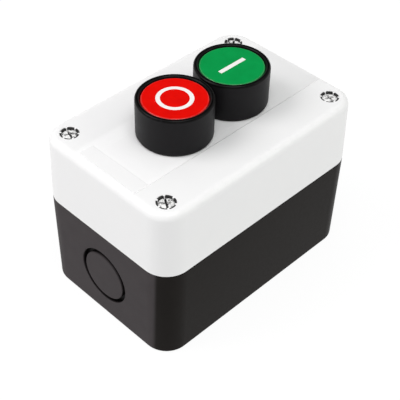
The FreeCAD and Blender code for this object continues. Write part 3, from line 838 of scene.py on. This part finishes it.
heads = {"stop": -head_y, "start": head_y}
bezel_radius = 14.75 * MM
bezel_top = 87.8 * MM
bezel_foot = 72.3 * MM
bezel_bore = 12.8 * MM
bezel_floor = 75.5 * MM
rim_radius = 0.9 * MM
neck_radius = 11.0 * MM
neck_bore = 8.5 * MM
neck_end = 61.1 * MM
guide_radius = 4.08 * MM
guide_end = 73.5 * MM
key_half = 1.5 * MM
key_reach = 12.0 * MM
rim_shade_drop = (1.3 * MM, 0.6 * MM)

coat(rubber_finish, "stop_panel_gasket", "start_panel_gasket")

bezel_finish = Finish("bezel_nylon", Specular_IOR_Level=0.12)
mottle = bezel_finish.noise(4 * MM, detail=4)
rim = bezel_finish.ramp(bezel_finish.axis("Z"), *(bezel_top - drop for drop in rim_shade_drop))
# Painted shade: in a noisy band at the top of the rim the colour goes near black, standing in for shade
# over the rim's highlight; the band is also glossier.
painted_rim_shade_and_gloss = rim * bezel_finish.ramp(bezel_finish.noise(1.6 * MM, detail=5), 0.15, 0.50)
bezel_tone = bezel_finish.mixed(mottle, (0.0074, 0.0070, 0.0080), (0.0112, 0.0104, 0.0118))
bezel_finish.feed("Base Color", bezel_finish.mixed(painted_rim_shade_and_gloss, bezel_tone, (0.0012, 0.0012, 0.0012)))
bezel_finish.feed("Roughness", mottle * 0.1 + bezel_finish.noise(1.2 * MM) * 0.1 + 0.36
                  - painted_rim_shade_and_gloss * 0.16)
bezel_finish.feed("Normal", bezel_finish.relief(bezel_finish.noise(0.35 * MM, detail=2),
                                                0.015 * MM, 0.5))

for head, y in heads.items():
    bezel = turned_piece(f"{head}_bezel_ring", [
        (neck_bore, neck_end, 0.2 * MM), (neck_radius, neck_end, 0.4 * MM),
        (neck_radius, bezel_foot, 0), (bezel_radius, bezel_foot, 0.3 * MM),
        (bezel_radius, bezel_top, rim_radius), (bezel_bore, bezel_top, rim_radius),
        (bezel_bore, bezel_floor, 0.3 * MM), (guide_radius, bezel_floor, 0.2 * MM),
        (guide_radius, guide_end, 0), (neck_bore, guide_end, 0)], (0, y, 0))
    key = box_tool("key_tool", (-key_half, y + (neck_bore + neck_radius) / 2, channel_floor - panel),
                   (key_half, y + key_reach, bezel_foot + 0.2 * MM))
    shaped(bezel, [("UNION", [key])])
    finished(smooth(bezel), f"{head}_bezel_ring", bezel_finish.material, f"{head}_bezel", "root")


# ======================================================================================
# Lip seals and pushers: a rubber lip seals the pusher of each head where it slides
# through the bezel's floor. The pushers are natural acetal.

acetal_finish = Finish("natural_acetal", Specular_IOR_Level=0.5, Subsurface_Weight=0.05)
haze = acetal_finish.noise(4 * MM)
acetal_finish.feed("Base Color", acetal_finish.mixed(haze, (0.68, 0.66, 0.60), (0.76, 0.75, 0.70)))
acetal_finish.feed("Roughness", haze * 0.15 + 0.28)
acetal_finish.feed("Normal", acetal_finish.relief(acetal_finish.noise(0.4 * MM), 0.01 * MM, 0.5))

coat(rubber_finish, "stop_lip_seal", "start_lip_seal")
coat(acetal_finish, "stop_pusher", "start_pusher")


# ======================================================================================
# Return springs: open-wound steel wire that stands on the bezel's floor and lifts the
# cap, with a dead coil at each end.

return_radius = 9.6 * MM
return_wire = 0.45 * MM
return_turns = 5.0
return_dead = 0.16

steel_finish = Finish("spring_steel", Metallic=1.0)
drawing = steel_finish.noise(0.8 * MM, detail=4)
steel_finish.feed("Base Color", steel_finish.mixed(drawing, (0.42, 0.42, 0.42), (0.62, 0.62, 0.61)))
steel_finish.feed("Roughness", drawing * 0.2 + 0.22)

coil_spring = Tree("coil_spring", Coil_Radius=LENGTH, Wire_Radius=LENGTH,
                   Height=LENGTH, Turns=LENGTH, Dead_Share=LENGTH,
                   Station=LENGTH, Foot=LENGTH, Material="NodeSocketMaterial")
helix = coil_spring.node("GeometryNodeCurveSpiral", None, {
    "Resolution": 40, "Rotations": coil_spring.asked("Turns"),
    "Start Radius": coil_spring.asked("Coil_Radius"), "End Radius": coil_spring.asked("Coil_Radius"),
    "Height": 0.0})
along = coil_spring.node("GeometryNodeSplineParameter")
dead = coil_spring.asked("Dead_Share")
rise = coil_spring.node("ShaderNodeMapRange", {"interpolation_type": "SMOOTHSTEP"}, {
    "Value": along, "From Min": dead, "From Max": 1 - dead})
steady = coil_spring.node("ShaderNodeMapRange", {"interpolation_type": "LINEAR"}, {
    "Value": along, "From Min": dead, "From Max": 1 - dead})
lift = coil_spring.node("ShaderNodeCombineXYZ", None, {
    "Y": coil_spring.asked("Station"),
    "Z": (rise * 0.25 + steady * 0.75)
         * (coil_spring.asked("Height") - coil_spring.asked("Wire_Radius") * 2)
         + coil_spring.asked("Foot") + coil_spring.asked("Wire_Radius")})
helix = coil_spring.node("GeometryNodeSetPosition", None, {"Geometry": helix, "Offset": lift})
wire = coil_spring.node("GeometryNodeCurvePrimitiveCircle", {"mode": "RADIUS"}, {
    "Resolution": 12, "Radius": coil_spring.asked("Wire_Radius")})
coil_spring.ends(coil_spring.node("GeometryNodeCurveToMesh", None, {
    "Curve": helix, "Profile Curve": wire, "Fill Caps": True}))


def spring(name, node, y, radius, wire_radius, turns, share):
    low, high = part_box(node)
    made = new_object(name, bpy.data.meshes.new(name))
    coil_spring.run(made, Coil_Radius=radius, Wire_Radius=wire_radius, Height=high.z - low.z,
                    Turns=turns, Dead_Share=share, Station=y, Foot=low.z,
                    Material=steel_finish.material)
    finished(smooth(made, 60), name, steel_finish.material, node, "root")
    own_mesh(made)


for head, y in heads.items():
    spring(f"{head}_return_coil", f"{head}_return_spring", y,
           return_radius, return_wire, return_turns, return_dead)


# ======================================================================================
# Caps and their marks: two-shot mouldings, red for stop and green for start. The white
# mark runs flush with the cap's flat face, a ring for stop and a bar for start.

cap_radius = 12.6 * MM
cap_top = 87.2 * MM
cap_plate = 85.7 * MM
cap_skirt = 11.2 * MM
skirt_end = 80.0 * MM
boss_radius = 5.2 * MM
boss_end = 82.5 * MM
socket_radius = 4.02 * MM
socket_top = 85.0 * MM
cap_edge = 0.5 * MM
cap_edge_band = (0.7 * MM, 0.3 * MM)
finger = (3 * MM, 10 * MM)
mark_depth = 0.4 * MM
mark_outer = 7.1 * MM
mark_inner = 5.4 * MM
bar_half_width = 0.95 * MM
bar_half_length = 6.7 * MM
seam = 0.02 * MM
mark_corner = 0.1 * MM
mark_break = 0.03 * MM


def cap_finish(name, dark, light):
    made = Finish(name, Specular_IOR_Level=0.02, Coat_Roughness=0.25)
    tone = made.noise(4 * MM, detail=4)
    along = made.maths("ABSOLUTE", made.axis("Y")) - head_y
    out = (made.axis("X") ** 2.0 + along ** 2.0) ** 0.5
    rubbed = 1 - made.ramp(out, *finger)
    edge = made.ramp(out, *(cap_radius - inset for inset in cap_edge_band))
    # Partly painted highlight: in a noisy band at the cap's edge the colour is a little lighter and a
    # coat is added, standing in for the highlight on the rounded edge; the band is also smoother.
    highlight_and_wear = edge * made.ramp(made.noise(1.4 * MM, detail=5), 0.20, 0.60)
    made.feed("Base Color", made.mixed(highlight_and_wear * 0.04, made.mixed(tone, dark, light), (0.75, 0.65, 0.60)))
    made.feed("Roughness", made.noise(1.5 * MM) * 0.1 + 0.32 - rubbed * 0.06 - highlight_and_wear * 0.08)
    made.feed("Normal", made.relief(made.noise(0.5 * MM), 0.008 * MM, 0.5))
    made.feed("Coat Weight", highlight_and_wear * 0.8)
    return made


cap_finishes = {"stop": cap_finish("stop_red", (0.60, 0.0016, 0.0006), (0.80, 0.0040, 0.0012)),
                "start": cap_finish("start_green", (0.001, 0.24, 0.050), (0.002, 0.315, 0.070))}
mark_finish = cap_finish("mark_white", (0.80, 0.78, 0.76), (0.87, 0.85, 0.83))

for head, y in heads.items():
    recess = [(mark_outer, cap_top, 0), (mark_outer, cap_top - mark_depth, 0),
              (mark_inner, cap_top - mark_depth, 0), (mark_inner, cap_top, 0)]
    cap = turned_piece(f"{head}_cap_moulding", [
        (0, socket_top, 0), (socket_radius, socket_top, 0), (socket_radius, boss_end, 0.1 * MM),
        (boss_radius, boss_end, 0.1 * MM), (boss_radius, cap_plate, 0), (cap_skirt, cap_plate, 0.4 * MM),
        (cap_skirt, skirt_end, 0.15 * MM), (cap_radius, skirt_end, 0.15 * MM),
        (cap_radius, cap_top, cap_edge), *(recess if head == "stop" else []), (0, cap_top, 0)],
        (0, y, 0))
    if head == "stop":
        mark = turned_piece("stop_mark", [
            (mark_outer - seam, cap_top - mark_depth, 0), (mark_outer - seam, cap_top, mark_break),
            (mark_inner + seam, cap_top, mark_break), (mark_inner + seam, cap_top - mark_depth, 0)],
            (0, y, 0))
    else:
        bar_tool = box_tool("bar_tool", (-bar_half_width, y - bar_half_length, cap_top - mark_depth),
                            (bar_half_width, y + bar_half_length, cap_top + overrun))
        shaped(cap, [("DIFFERENCE", [bar_tool])])
        mark = rounded_slab("start_mark", (-bar_half_width + seam, y - bar_half_length + seam,
                                           cap_top - mark_depth),
                            (bar_half_width - seam, y + bar_half_length - seam, cap_top),
                            mark_corner, mark_break)
    finished(smooth(cap), f"{head}_cap_moulding", cap_finishes[head].material, f"{head}_cap",
             f"{head}_button")
    finished(smooth(mark), f"{head}_mark", mark_finish.material, f"{head}_legend",
             f"{head}_button")


# ======================================================================================
# Fixing collars: zinc die castings that slide over the neck under the panel. A plated
# screw in the ear of each draws it up.

casting_finish = Finish("die_cast_zinc", Metallic=0.85)
skin = casting_finish.noise(2.5 * MM, detail=5)
casting_finish.feed("Base Color", casting_finish.mixed(skin, (0.38, 0.385, 0.39), (0.56, 0.565, 0.57)))
casting_finish.feed("Roughness", skin * 0.2 + 0.42)
casting_finish.feed("Normal", casting_finish.relief(casting_finish.noise(0.4 * MM), 0.04 * MM, 0.6))

coat(casting_finish, "stop_fixing_collar", "start_fixing_collar")
coat(screw_finish, "stop_collar_screw", "start_collar_screw")


# ======================================================================================
# Contact blocks: a grey polyamide housing with a side cover, and an acetal carrier that
# the pusher drives down.

block_finish = Finish("block_polyamide", Specular_IOR_Level=0.4)
mottle = block_finish.noise(5 * MM, detail=4)
block_finish.feed("Base Color", block_finish.mixed(mottle, (0.40, 0.40, 0.39), (0.50, 0.50, 0.49)))
block_finish.feed("Roughness", mottle * 0.15 + 0.4)
block_finish.feed("Normal", block_finish.relief(block_finish.noise(0.4 * MM), 0.02 * MM, 0.5))

for head in heads:
    coat(block_finish, f"{head}_contact_housing", f"{head}_contact_side_cover")
    coat(acetal_finish, f"{head}_contact_carrier")


# ======================================================================================
# Contacts: a stamped brass bridge in each carrier, over brass strips that carry the
# tips and the terminals.

brass_finish = Finish("contact_brass", Metallic=1.0)
tarnish = brass_finish.noise(2.2 * MM, detail=4)
brass_finish.feed("Base Color", brass_finish.mixed(tarnish, (0.60, 0.42, 0.17), (0.80, 0.62, 0.30)))
brass_finish.feed("Roughness", tarnish * 0.2 + 0.2)

for head in heads:
    coat(brass_finish, f"{head}_contact_bridge", f"{head}_fixed_contacts")


# ======================================================================================
# Contact springs: fine steel wire that lifts each carrier back, standing on the floor of
# the contact housing.

contact_radius = 2.3 * MM
contact_wire = 0.25 * MM
contact_turns = 7.0
contact_dead = 0.12

for head, y in heads.items():
    spring(f"{head}_contact_coil", f"{head}_contact_spring", y,
           contact_radius, contact_wire, contact_turns, contact_dead)


# ======================================================================================
# Terminals: a zinc-plated screw at the outer end of each contact strip draws a stamped
# clamp up, and the wire is held between the two.

for head in heads:
    coat(screw_finish, f"{head}_terminal_screws", f"{head}_terminal_clamps")
